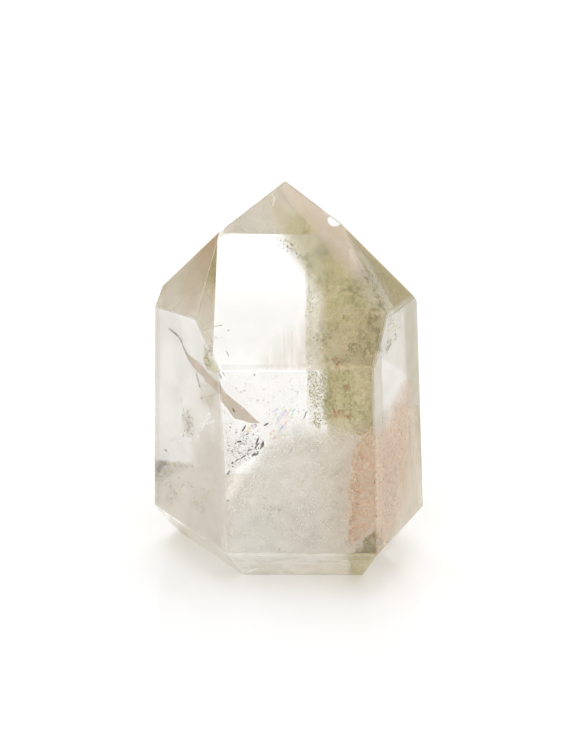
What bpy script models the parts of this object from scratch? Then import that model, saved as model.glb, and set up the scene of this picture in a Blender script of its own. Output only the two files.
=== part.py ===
# Green phantom quartz: one ground and polished crystal point that stands on its flat base.
# Seven prism faces rise almost upright, six tip faces close to a point near the middle,
# and a ground bevel of about 45 degrees runs all the way round the small flat base.
# The solid is cut from a block by those faces, one plane each, then a few edge nicks are
# taken out of it. Units are metres, +Z is up and -Y is the front.

import math

import bmesh
import bpy
from mathutils import Matrix, Vector

# Each face: compass angle of its outward normal (0 is the front, + turns to the right),
# lift of that normal above the horizontal, both in degrees, and its distance from the
# crystal's axis point on the base, in metres.
PRISM_FACES = {
    "front": (-2.0, 2.5, 0.0215),
    "right": (67.5, 2.0, 0.0239),
    "back_right": (128.5, 1.0, 0.0197),
    "back_narrow": (155.5, 1.5, 0.0222),
    "back": (185.0, 1.5, 0.0213),
    "back_left": (241.0, 2.5, 0.0209),
    "left": (302.0, 0.0, 0.0195),
}
TIP_FACES = {
    "tip_front": (-3.0, 41.5, 0.0427),
    "tip_right": (71.5, 40.5, 0.0488),
    "tip_back_right": (124.0, 38.5, 0.0449),
    "tip_back": (181.0, 40.5, 0.0471),
    "tip_back_left": (238.0, 43.0, 0.0475),
    "tip_left": (296.0, 35.0, 0.0437),
}
FOOT_FACES = {
    "foot_front": (-2.0, -47.0, 0.0088),
    "foot_right": (67.0, -35.0, 0.0149),
    "foot_back_right": (128.5, -45.0, 0.0084),
    "foot_back_narrow": (155.5, -45.0, 0.0084),
    "foot_back": (185.0, -45.0, 0.0068),
    "foot_back_left": (241.0, -45.0, 0.0137),
    "foot_left": (302.0, -39.5, 0.0099),
}

BLOCK_SIDE = 0.120  # rough block that the faces are ground from
BLOCK_BELOW_BASE = 0.010
CUT_TOLERANCE = 1e-7
EDGE_WEAR = 0.00012  # width of the polish worn over every edge
WEAR_STEPS = 2
WEAR_FROM_ANGLE = 8.0  # degrees between two faces; flatter edges stay as cut

# Shell-shaped nicks: where each sits, named by the faces that meet there, how far it lies
# along that edge from its lower end (share of the edge), its radius and its depth.
NICKS = (
    ("tip_front", "tip_back_left", 0.87, 0.0007, 0.00022),
    ("tip_front", "tip_back_left", 0.32, 0.0006, 0.00018),
    ("front", "left", 0.985, 0.0010, 0.00030),
    ("front", "foot_front", 0.03, 0.0008, 0.00022),
    ("left", "back_left", 0.34, 0.0007, 0.00020),
    ("right", "back_right", 0.12, 0.0008, 0.00022),
    ("back", "foot_back", 0.60, 0.0011, 0.00030),
)
NICK_DIVISIONS = 2
NICK_TURN = 0.7  # radians that each scooping ball is turned on from the one before
SAME_DIRECTION = 0.9999  # dot product above which two normals are taken as one

QUARTZ_COLOUR = (0.86, 0.83, 0.76, 1.0)
QUARTZ_ROUGHNESS = 0.05
QUARTZ_IOR = 1.544

NODE_NAME = "quartz_point"


def clear_scene():
    for item in list(bpy.data.objects):
        bpy.data.objects.remove(item, do_unlink=True)


def face_normal(turn, lift):
    """Outward normal of a face from its compass angle and its lift, in degrees."""
    turn = math.radians(turn)
    lift = math.radians(lift)
    return Vector(
        (
            math.sin(turn) * math.cos(lift),
            -math.cos(turn) * math.cos(lift),
            math.sin(lift),
        )
    )


def all_faces():
    """Every ground face by name, as (normal, distance)."""
    named = {}
    for group in (PRISM_FACES, TIP_FACES, FOOT_FACES):
        for name, (turn, lift, distance) in group.items():
            named[name] = (face_normal(turn, lift), distance)
    named["base"] = (Vector((0.0, 0.0, -1.0)), 0.0)
    return named


def cut_away(shape, normal, distance):
    """Grinds off what lies outside one face and closes the solid with that face."""
    cut = bmesh.ops.bisect_plane(
        shape,
        geom=list(shape.verts) + list(shape.edges) + list(shape.faces),
        dist=CUT_TOLERANCE,
        plane_co=normal * distance,
        plane_no=normal,
        clear_outer=True,
    )
    rim = [item for item in cut["geom_cut"] if isinstance(item, bmesh.types.BMEdge)]
    if rim:
        bmesh.ops.edgenet_fill(shape, edges=rim)


def ground_crystal(faces):
    """The sharp-edged crystal: a block cut by each of its faces in turn."""
    shape = bmesh.new()
    bmesh.ops.create_cube(shape, size=BLOCK_SIDE)
    bmesh.ops.translate(
        shape, verts=shape.verts, vec=(0.0, 0.0, BLOCK_SIDE / 2 - BLOCK_BELOW_BASE)
    )
    for normal, distance in faces.values():
        cut_away(shape, normal, distance)
    bmesh.ops.recalc_face_normals(shape, faces=shape.faces)
    return shape


def centre_over_base(shape):
    """Moves the crystal so that its box is centred on the origin."""
    xs = [vert.co.x for vert in shape.verts]
    ys = [vert.co.y for vert in shape.verts]
    move = Vector((-(min(xs) + max(xs)) / 2, -(min(ys) + max(ys)) / 2, 0.0))
    bmesh.ops.translate(shape, verts=shape.verts, vec=move)


def same_way(normal, other):
    return normal.dot(other) > SAME_DIRECTION


def shared_edge(shape, first, second):
    """The edge where two faces meet, as (lower end, upper end)."""
    for edge in shape.edges:
        normals = [face.normal for face in edge.link_faces]
        if len(normals) != 2:
            continue
        straight = same_way(normals[0], first) and same_way(normals[1], second)
        crossed = same_way(normals[1], first) and same_way(normals[0], second)
        if straight or crossed:
            low, high = sorted((vert.co.copy() for vert in edge.verts), key=lambda p: p.z)
            return low, high
    raise ValueError("these two faces don't meet along an edge")


def nick_places(shape, faces):
    """Centre and radius of the ball that scoops out each nick."""
    places = []
    for first, second, share, radius, depth in NICKS:
        outward = (faces[first][0] + faces[second][0]).normalized()
        low, high = shared_edge(shape, faces[first][0], faces[second][0])
        on_edge = low.lerp(high, share)
        places.append((on_edge + outward * (radius - depth), radius))
    return places


def new_material():
    """Clear, faintly smoky quartz."""
    material = bpy.data.materials.new("clear quartz")
    material.use_nodes = True
    shader = material.node_tree.nodes["Principled BSDF"]
    shader.inputs["Base Color"].default_value = QUARTZ_COLOUR
    shader.inputs["Roughness"].default_value = QUARTZ_ROUGHNESS
    shader.inputs["Metallic"].default_value = 0.0
    shader.inputs["IOR"].default_value = QUARTZ_IOR
    shader.inputs["Transmission Weight"].default_value = 1.0
    return material


def object_from(shape, name):
    mesh = bpy.data.meshes.new(name)
    shape.to_mesh(mesh)
    shape.free()
    made = bpy.data.objects.new(name, mesh)
    bpy.context.scene.collection.objects.link(made)
    return made


def nick_cutter(places):
    """All the scooping balls in one hidden helper."""
    balls = bmesh.new()
    for count, (centre, radius) in enumerate(places):
        turned = Matrix.Translation(centre) @ Matrix.Rotation(NICK_TURN * count, 4, "X")
        bmesh.ops.create_icosphere(
            balls, subdivisions=NICK_DIVISIONS, radius=radius, matrix=turned
        )
    cutter = object_from(balls, "nick_cutter")
    cutter.hide_render = True
    cutter.display_type = "WIRE"
    return cutter


def build_quartz_point():
    faces = all_faces()
    shape = ground_crystal(faces)
    centre_over_base(shape)
    places = nick_places(shape, faces)

    crystal = object_from(shape, NODE_NAME)
    crystal.data.materials.append(new_material())

    wear = crystal.modifiers.new("edge wear", "BEVEL")
    wear.width = EDGE_WEAR
    wear.segments = WEAR_STEPS
    wear.limit_method = "ANGLE"
    wear.angle_limit = math.radians(WEAR_FROM_ANGLE)
    wear.use_clamp_overlap = True

    nicks = crystal.modifiers.new("edge nicks", "BOOLEAN")
    nicks.operation = "DIFFERENCE"
    nicks.solver = "EXACT"
    nicks.object = nick_cutter(places)
    return crystal


clear_scene()
build_quartz_point()
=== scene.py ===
import bpy
import bmesh
import math
import random
from mathutils import Euler, Matrix, Vector, noise


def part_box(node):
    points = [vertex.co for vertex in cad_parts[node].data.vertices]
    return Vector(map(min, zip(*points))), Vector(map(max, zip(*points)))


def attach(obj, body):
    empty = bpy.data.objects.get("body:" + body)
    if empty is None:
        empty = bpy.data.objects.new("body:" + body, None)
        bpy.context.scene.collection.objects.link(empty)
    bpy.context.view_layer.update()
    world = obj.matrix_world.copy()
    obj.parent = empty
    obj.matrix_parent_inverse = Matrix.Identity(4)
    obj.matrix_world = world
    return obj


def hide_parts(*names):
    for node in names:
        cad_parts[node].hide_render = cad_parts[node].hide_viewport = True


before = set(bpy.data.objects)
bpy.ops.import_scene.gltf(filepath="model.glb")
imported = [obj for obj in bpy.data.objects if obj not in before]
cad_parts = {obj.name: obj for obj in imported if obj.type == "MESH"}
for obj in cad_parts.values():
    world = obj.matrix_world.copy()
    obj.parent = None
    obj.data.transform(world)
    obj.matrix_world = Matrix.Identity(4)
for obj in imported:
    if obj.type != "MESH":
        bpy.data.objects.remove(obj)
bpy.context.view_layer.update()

scene = bpy.context.scene


# the picture, in pixels, seen from a little above with a long lens
picture = dict(width=563, height=750)
cameraSetup = dict(
    elevation=21.75,            # degrees above the table
    roll=-0.6,
    distance=0.600,
    target=(-0.00106, 0.0001, 0.03327),
    pixelsPerMetre=5600.0,      # at the target
    sensor=36.0,
    clip=(0.01, 20.0),
)


def cameraAxes():
    tilt = math.radians(cameraSetup["elevation"])
    roll = math.radians(cameraSetup["roll"])
    back = Vector((0.0, -math.cos(tilt), math.sin(tilt)))
    level = Vector((1.0, 0.0, 0.0))
    upright = Vector((0.0, math.sin(tilt), math.cos(tilt)))
    right = level * math.cos(roll) + upright * math.sin(roll)
    up = upright * math.cos(roll) - level * math.sin(roll)
    return right, up, back


cameraRight, cameraUp, cameraBack = cameraAxes()
focalPixels = cameraSetup["pixelsPerMetre"] * cameraSetup["distance"]
eye = Vector(cameraSetup["target"]) + cameraBack * cameraSetup["distance"]


def makeCamera():
    data = bpy.data.cameras.new("photo camera")
    data.sensor_width = cameraSetup["sensor"]
    data.lens = focalPixels * data.sensor_width / picture["height"]
    data.clip_start, data.clip_end = cameraSetup["clip"]
    cam = bpy.data.objects.new("photo camera", data)
    turn = Matrix((cameraRight, cameraUp, cameraBack)).transposed().to_4x4()
    cam.matrix_world = Matrix.Translation(eye) @ turn
    scene.collection.objects.link(cam)
    scene.camera = cam


makeCamera()
print("camera placed")


# short helpers for node materials

def newMaterial(name, rough=0.5, gloss=0.5):
    material = bpy.data.materials.new(name)
    material.use_nodes = True
    shader = material.node_tree.nodes["Principled BSDF"]
    shader.inputs["Roughness"].default_value = rough
    shader.inputs["Specular IOR Level"].default_value = gloss
    return material, material.node_tree, shader


def addNode(tree, kind, **settings):
    node = tree.nodes.new(kind)
    for key, value in settings.items():
        if key in node.inputs:
            node.inputs[key].default_value = value
        else:
            setattr(node, key, value)
    return node


def feed(tree, socket, value):
    # a socket takes another node's output, a colour or a plain number
    if isinstance(value, bpy.types.NodeSocket):
        tree.links.new(value, socket)
    elif isinstance(value, tuple):
        socket.default_value = (*value, 1.0)
    else:
        socket.default_value = value


def objectPlace(tree):
    return addNode(tree, "ShaderNodeTexCoord").outputs["Object"]


def addNoise(tree, scale, detail=2.0, roughness=0.55):
    grain = addNode(tree, "ShaderNodeTexNoise", Scale=scale, Detail=detail, Roughness=roughness)
    tree.links.new(objectPlace(tree), grain.inputs["Vector"])
    return grain.outputs["Fac"]


def addRange(tree, value, fromMin, fromMax, toMin=0.0, toMax=1.0):
    spread = addNode(tree, "ShaderNodeMapRange", interpolation_type="SMOOTHSTEP")
    for name, number in zip(("From Min", "From Max", "To Min", "To Max"), (fromMin, fromMax, toMin, toMax)):
        spread.inputs[name].default_value = number
    tree.links.new(value, spread.inputs["Value"])
    return spread.outputs["Result"]


def addMath(tree, operation, first, second):
    node = addNode(tree, "ShaderNodeMath", operation=operation)
    feed(tree, node.inputs[0], first)
    feed(tree, node.inputs[1], second)
    return node.outputs["Value"]


def addShares(tree, *parts):
    # several noises added up, each with its share of the whole
    total, *others = [addMath(tree, "MULTIPLY", value, share) for value, share in parts]
    for other in others:
        total = addMath(tree, "ADD", total, other)
    return total


def addMix(tree, share, first, second):
    # from the first colour to the second, as the share goes from 0 to 1
    node = addNode(tree, "ShaderNodeMix", data_type="RGBA")
    feed(tree, node.inputs[0], share)
    feed(tree, node.inputs[6], first)
    feed(tree, node.inputs[7], second)
    return node.outputs[2]


def addRamp(tree, value, stops):
    ramp = addNode(tree, "ShaderNodeValToRGB")
    elements = ramp.color_ramp.elements
    while len(elements) < len(stops):
        elements.new(0.5)
    for element, (place, colour) in zip(elements, stops):
        element.position = place
        element.color = (*colour, 1.0)
    tree.links.new(value, ramp.inputs["Fac"])
    return ramp.outputs["Color"]


def sheetValue(tree, name):
    # what a sheet carries at each of its corners: its haze or its tint
    return addNode(tree, "ShaderNodeAttribute", attribute_name=name).outputs["Fac"]


def addHaze(tree, patches, thinning):
    # a sheet's own haze, thinned in patches by a noise
    thinned = addRange(tree, patches, *thinning)
    alpha = addMath(tree, "MULTIPLY", thinned, sheetValue(tree, "haze"))
    tree.links.new(alpha, tree.nodes["Principled BSDF"].inputs["Alpha"])


def filmMaterial(name, tones, grain, patches, thinning, rough, gloss=0.5, metal=0.0):
    # the colour follows one noise and the haze another, each given by its scale, detail and roughness
    material, tree, shader = newMaterial(name, rough, gloss)
    shader.inputs["Metallic"].default_value = metal
    tree.links.new(addRamp(tree, addNoise(tree, *grain), tones), shader.inputs["Base Color"])
    addHaze(tree, addNoise(tree, *patches), thinning)
    return material


grainNoise = 2500.0             # scale of the colour change from grain to grain


def grainMaterial(name, tones, rough=0.7, gloss=0.3):
    material, tree, shader = newMaterial(name, rough, gloss)
    tree.links.new(addRamp(tree, addNoise(tree, grainNoise), tones), shader.inputs["Base Color"])
    return material


# quartz: clear, faintly smoky, hand-polished
quartzFinish = dict(
    ior=1.544,
    wipes=(90.0, 4.0, 0.6),     # noise of the faint polishing marks
    roughSpread=(0.55, 0.8, 0.0, 0.015),
    absorbColour=(0.50, 0.35, 0.10, 1.0),
    absorbDensity=1.9,          # per metre
)


def polishedQuartz():
    material, tree, shader = newMaterial("polished quartz")
    shader.inputs["Base Color"].default_value = (1.0, 1.0, 1.0, 1.0)
    shader.inputs["IOR"].default_value = quartzFinish["ior"]
    shader.inputs["Transmission Weight"].default_value = 1.0
    rough = addRange(tree, addNoise(tree, *quartzFinish["wipes"]), *quartzFinish["roughSpread"])
    tree.links.new(rough, shader.inputs["Roughness"])
    smoke = addNode(tree, "ShaderNodeVolumeAbsorption")
    smoke.inputs["Color"].default_value = quartzFinish["absorbColour"]
    smoke.inputs["Density"].default_value = quartzFinish["absorbDensity"]
    tree.links.new(smoke.outputs["Volume"], tree.nodes["Material Output"].inputs["Volume"])
    return material


def objectFrom(shape, name, material):
    mesh = bpy.data.meshes.new(name)
    shape.to_mesh(mesh)
    shape.free()
    mesh.materials.append(material)
    made = bpy.data.objects.new(name, mesh)
    scene.collection.objects.link(made)
    return made


mergeDistance = 2e-6
flatWithin = 0.4                # degrees; triangles of one ground face become one flat face


def makeCrystal():
    shape = bmesh.new()
    shape.from_mesh(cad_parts["quartz_point"].data)
    bmesh.ops.remove_doubles(shape, verts=shape.verts, dist=mergeDistance)
    bmesh.ops.dissolve_limit(
        shape, angle_limit=math.radians(flatWithin), verts=shape.verts, edges=shape.edges
    )
    bmesh.ops.recalc_face_normals(shape, faces=shape.faces)
    crystal = objectFrom(shape, "quartz_crystal", polishedQuartz())
    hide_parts("quartz_point")
    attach(crystal, "root")
    return crystal


crystal = makeCrystal()

# the flat faces of the crystal, as normal and distance, read from its own mesh
smallestWall = 1.5e-6           # square metres; edges and nicks are smaller
walls = [
    (face.normal.copy(), face.normal.dot(face.center))
    for face in crystal.data.polygons
    if face.area > smallestWall
]
print("crystal made,", len(walls), "flat faces")

# compass angle and lift, in degrees, of the faces that something lies behind
faceLooks = dict(
    front=(-2.0, 2.5),
    left=(-58.0, 0.0),
    right=(67.5, 2.0),
    tipFront=(-3.0, 41.5),
    tipRight=(71.5, 40.5),
    footFront=(-2.0, -47.0),
    backRight=(128.5, 1.0),
    backNarrow=(155.5, 1.5),
)


def lookTowards(turn, lift):
    turn = math.radians(turn)
    lift = math.radians(lift)
    return Vector((
        math.sin(turn) * math.cos(lift), -math.cos(turn) * math.cos(lift), math.sin(lift)
    ))


def wallNamed(name):
    look = lookTowards(*faceLooks[name])
    return max(walls, key=lambda wall: wall[0].dot(look))


def sightInto(px, py, face):
    # the line of sight through one spot of the picture, bent where it enters that face
    aside, down = px - picture["width"] / 2, py - picture["height"] / 2
    ray = cameraRight * aside - cameraUp * down - cameraBack * focalPixels
    ray.normalize()
    normal, distance = wallNamed(face)
    entry = eye + ray * ((distance - eye.dot(normal)) / ray.dot(normal))
    ratio = 1.0 / quartzFinish["ior"]
    slope = -ray.dot(normal)
    bent = ray * ratio + normal * (ratio * slope - math.sqrt(1.0 - ratio ** 2 * (1.0 - slope ** 2)))
    return entry, bent


def wayOut(entry, direction):
    # how far a line of sight runs through the quartz before it meets the far wall
    return min(
        (distance - normal.dot(entry)) / normal.dot(direction)
        for normal, distance in walls
        if normal.dot(direction) > 1e-6
    )


def spotInside(px, py, face, depth):
    # the place behind one spot of the picture; a negative depth counts back from the far wall
    entry, bent = sightInto(px, py, face)
    if depth < 0.0:
        depth += wayOut(entry, bent)
    return entry + bent * depth


def underWall(face, depth, height):
    # the place this far under the middle of one face, at one height above the table
    normal, distance = wallNamed(face)
    level = Vector((normal.x, normal.y, 0.0)).normalized()
    foot = level * ((distance - depth - normal.z * height) / level.dot(normal))
    return Vector((foot.x, foot.y, height))


def insideBy(point):
    return min(distance - normal.dot(point) for normal, distance in walls)


# outlines and paths in picture pixels

def outlineBox(outline):
    return [min(values) for values in zip(*outline)], [max(values) for values in zip(*outline)]


def inOutline(x, y, outline):
    inside = False
    for (x1, y1), (x2, y2) in zip(outline, outline[1:] + outline[:1]):
        if (y1 > y) != (y2 > y) and x < x1 + (y - y1) * (x2 - x1) / (y2 - y1):
            inside = not inside
    return inside


def borderDistance(x, y, outline):
    nearest = math.inf
    for (x1, y1), (x2, y2) in zip(outline, outline[1:] + outline[:1]):
        dx, dy = x2 - x1, y2 - y1
        share = ((x - x1) * dx + (y - y1) * dy) / (dx * dx + dy * dy)
        share = min(1.0, max(0.0, share))
        nearest = min(nearest, math.hypot(x - x1 - share * dx, y - y1 - share * dy))
    return nearest


def smoothShare(value):
    value = min(1.0, max(0.0, value))
    return value * value * (3.0 - 2.0 * value)


def outlineShare(x, y, outline, soft):
    if not inOutline(x, y, outline):
        return 0.0
    return smoothShare(borderDistance(x, y, outline) / soft)


def alongPath(path, share):
    # the point and the direction at one share of a path's length
    lengths = [math.dist(a, b) for a, b in zip(path, path[1:])]
    rest = share * sum(lengths)
    for (x1, y1), (x2, y2), length in zip(path, path[1:], lengths):
        if rest <= length:
            break
        rest -= length
    part = min(1.0, rest / length)
    dx, dy = (x2 - x1) / length, (y2 - y1) / length
    return x1 + (x2 - x1) * part, y1 + (y2 - y1) * part, dx, dy


# sheets inside the quartz: veils, films and cracks, each a fine grid that carries its haze and tint

sheetRules = dict(
    wallGap=0.00012,            # sheets stop this far under the polished faces
    thinnest=0.24,              # a soft veil is laid in layers, none of them denser than this
    layerGap=0.00006,
    ripple=18.0,                # pixels from wave to wave in a crumpled veil
    waveDepth=900.0,            # how fast the waves change from one depth to the next
    streak=(2.6, 34.0),         # width and height of a streak in pixels
    footBlur=1.5,               # pixels over which a veil ends at its foot
    pointed=(0.06, 0.88),       # where on a half turn a flake starts, and how much of it it takes
)
evenly = 0.000005               # crumple of the veils that lie closest to one another
tipFoot = 369.5                 # picture row in which the front tip face ends


def newSheets():
    shape = bmesh.new()
    shape.verts.layers.float.new("haze")
    shape.verts.layers.float.new("tint")
    return shape


def addGrid(shape, wide, tall, step):
    # a grid one unit square, in steps that fit its size to be
    columns, rows = max(3, round(wide / step)), max(3, round(tall / step))
    return bmesh.ops.create_grid(shape, x_segments=columns, y_segments=rows, size=0.5)["verts"]


def dropEmpty(shape, verts, haze):
    empty = [vert for vert in verts if vert[haze] <= 0.0]
    bmesh.ops.delete(shape, geom=empty, context="VERTS")


def addLayer(shape, face, outline, depths, soft, strength, tint, step, crumple, foot, streaks):
    low, high = outlineBox(outline)
    wide, tall = high[0] - low[0], high[1] - low[1]
    made = addGrid(shape, wide, tall, step)
    haze = shape.verts.layers.float["haze"]
    tone = shape.verts.layers.float["tint"]
    ripple, waveDepth = sheetRules["ripple"], sheetRules["waveDepth"]
    streakWide, streakTall = sheetRules["streak"]
    for vert in made:
        across = vert.co.x + 0.5
        px, py = low[0] + across * wide, low[1] + (vert.co.y + 0.5) * tall
        vert[tone] = tint
        vert[haze] = strength * outlineShare(px, py, outline, soft)
        if foot:
            vert[haze] *= smoothShare((foot - py) / sheetRules["footBlur"] + 0.5)
        if streaks:
            place = Vector((px / streakWide, py / streakTall, depths[0] * waveDepth))
            vert[haze] *= 1.0 + streaks * noise.noise(place)
        deep = depths[0] + (depths[1] - depths[0]) * across
        wave = noise.noise(Vector((px / ripple, py / ripple, deep * waveDepth)))
        vert.co = spotInside(px, py, face, deep + crumple * wave)
    dropEmpty(shape, made, haze)


def addVeil(shape, face, depth, soft, strength, outline, tint=0.0, step=2.5, crumple=0.0002, foot=None,
            streaks=0.0, layered=False):
    # a veil facing the picture behind one face, its outline and the softness of its border in pixels;
    # depth is one value, or one for its left end and one for its right
    ends = depth if isinstance(depth, tuple) else (depth, depth)
    layers = math.ceil(math.log(1.0 - strength) / math.log(1.0 - sheetRules["thinnest"])) if layered else 1
    thin = 1.0 - (1.0 - strength) ** (1.0 / layers) if layered else strength
    for layer in range(layers):
        depths = [end + layer * sheetRules["layerGap"] for end in ends]
        addLayer(shape, face, outline, depths, soft, thin, tint, step, crumple, foot, streaks)


def addVeils(shape, veils):
    for face, depth, soft, strength, more, outline in veils:
        addVeil(shape, face, depth, soft, strength, outline, **more)


def addSheet(shape, centre, turn, lift, size, strengthAt, step, crumple, ripple, seed):
    # a flat sheet with its face towards (turn, lift); strengthAt(point, u, w) gives its haze
    outward = lookTowards(turn, lift)
    across = Vector((0.0, 0.0, 1.0)).cross(outward).normalized()
    along = outward.cross(across)
    wide, tall = size
    made = addGrid(shape, wide, tall, step)
    haze = shape.verts.layers.float["haze"]
    for vert in made:
        u, w = vert.co.x * wide, vert.co.y * tall
        flat = Vector(centre) + across * u + along * w
        wave = noise.noise(flat / ripple + Vector((seed, seed, 0.0)))
        vert.co = flat + outward * crumple * wave
        vert[haze] = strengthAt(vert.co, u, w)
    dropEmpty(shape, made, haze)


def addStroke(shape, face, depth, width, path, strength=1.0, tint=0.0, step=1.2):
    # a thin flake that follows a path in the picture, pointed at both ends
    length = sum(math.dist(a, b) for a, b in zip(path, path[1:]))
    made = bmesh.ops.create_grid(shape, x_segments=max(3, round(length / step)), y_segments=1, size=0.5)
    haze = shape.verts.layers.float["haze"]
    tone = shape.verts.layers.float["tint"]
    start, span = sheetRules["pointed"]
    for vert in made["verts"]:
        share, side = vert.co.x + 0.5, 2.0 * vert.co.y
        px, py, dx, dy = alongPath(path, share)
        half = 0.5 * width * math.sqrt(math.sin(math.pi * (start + span * share)))
        vert.co = spotInside(px - dy * half * side, py + dx * half * side, face, depth)
        vert[haze] = strength
        vert[tone] = tint


def trimToCrystal(shape):
    for normal, distance in walls:
        bmesh.ops.bisect_plane(
            shape,
            geom=list(shape.verts) + list(shape.edges) + list(shape.faces),
            dist=1e-7,
            plane_co=normal * (distance - sheetRules["wallGap"]),
            plane_no=normal,
            clear_outer=True,
        )
    loose = [vert for vert in shape.verts if not vert.link_faces]
    bmesh.ops.delete(shape, geom=loose, context="VERTS")
    for face in shape.faces:
        face.smooth = True


def finishPiece(shape, name, material):
    piece = objectFrom(shape, name, material)
    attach(piece, "root")
    print(name, "faces:", len(piece.data.polygons))
    return piece


def makeSheetPiece(name, material, veils=(), strokes=()):
    shape = newSheets()
    addVeils(shape, veils)
    for stroke in strokes:
        addStroke(shape, *stroke)
    trimToCrystal(shape)
    finishPiece(shape, name, material)


# small grains and plates, each with a handful of faces

grainRules = dict(
    wallGap=0.00004,            # grains stop this far under the polished faces
    batch=150,                  # grains are made in batches, because an operator slows down on a long mesh
    narrowest=0.55,             # a grain's second width as a share of its first
    taper=0.7,                  # its top as a share of its foot
    tries=20,                   # for each place that is wanted
)


def addGrains(shape, places, seed, sides=5, flatness=0.35):
    # places: (point, radius)
    chance = random.Random(seed)
    for start in range(0, len(places), grainRules["batch"]):
        batch = bmesh.new()
        for point, radius in places[start:start + grainRules["batch"]]:
            turn = Euler([chance.uniform(0.0, math.tau) for axis in range(3)])
            squash = Vector((1.0, chance.uniform(grainRules["narrowest"], 1.0), flatness))
            bmesh.ops.create_cone(
                batch, cap_ends=True, segments=sides, radius1=radius, radius2=radius * grainRules["taper"],
                depth=radius, matrix=Matrix.LocRotScale(point, turn, squash),
            )
        mesh = bpy.data.meshes.new("batch")
        batch.to_mesh(mesh)
        batch.free()
        shape.from_mesh(mesh)
        bpy.data.meshes.remove(mesh)


def scatterBehind(chance, face, count, depths, sizes, soft, outline):
    # random places behind one face, inside an outline in picture pixels; sizes in millimetres
    low, high = outlineBox(outline)
    places = []
    for attempt in range(count * grainRules["tries"]):
        if len(places) == count:
            break
        px, py = chance.uniform(low[0], high[0]), chance.uniform(low[1], high[1])
        if chance.random() > outlineShare(px, py, outline, soft):
            continue
        point = spotInside(px, py, face, chance.uniform(*depths))
        radius = 0.001 * chance.uniform(*sizes)
        if insideBy(point) > radius + grainRules["wallGap"]:
            places.append((point, radius))
    return places


def addPatches(shape, patches, seed, **form):
    for count, patch in enumerate(patches):
        places = scatterBehind(random.Random(seed + count), *patch)
        addGrains(shape, places, seed + 100 + count, **form)


def makeGrainPiece(name, material, patches, seed, **form):
    shape = bmesh.new()
    addPatches(shape, patches, seed, **form)
    finishPiece(shape, name, material)


# how the tables of the pieces below are laid out; depths are metres under the face, the rest is in pixels
# veil: face, depth, softness of its border, strength, what else it needs, outline
# stroke: face, depth, width, path
# patch of grains: face, count, depths, sizes in millimetres, softness of its border, outline


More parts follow.
